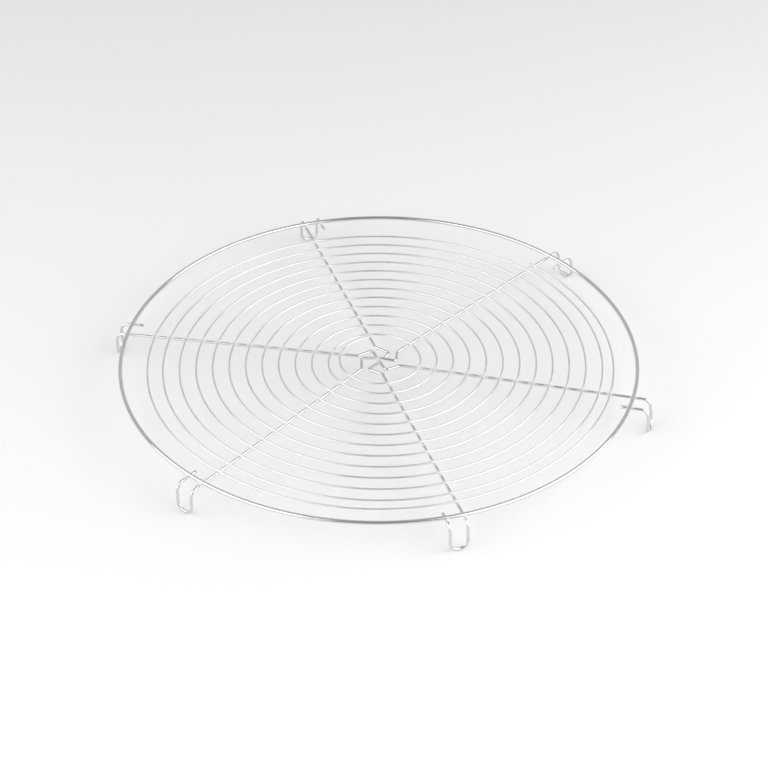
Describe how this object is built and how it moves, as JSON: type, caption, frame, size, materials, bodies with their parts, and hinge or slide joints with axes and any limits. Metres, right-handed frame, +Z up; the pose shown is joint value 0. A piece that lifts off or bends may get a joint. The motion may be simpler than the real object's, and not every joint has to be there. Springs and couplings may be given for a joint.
{
  "type": "cooling rack",
  "caption": "Round wire cooling rack: a thick wire ring, a flat spiral of fine wire lying on crossed spoke wires, and U-shaped legs bent from the spoke ends.",
  "frame": {"origin": "on the floor, midway between the feet, under the centre of the ring", "axes": "+Z up through the ring's centre, +X along the spoke wire whose ends stand furthest apart"},
  "size_m": [0.3417, 0.3224, 0.0213],
  "materials": {
    "plated_wire": "bright plated drawn steel wire",
    "plated_weld": "bright plating over uneven spot-weld metal"
  },
  "bodies": {
    "root": {"rim_ring": "plated_wire", "spiral_grid": "plated_wire", "spoke_wire_lower": "plated_wire", "spoke_wire_middle": "plated_wire", "spoke_wire_upper": "plated_wire", "rim_welds": "plated_weld", "grid_welds": "plated_weld", "hub_weld": "plated_weld"}
  },
  "joints": []
}
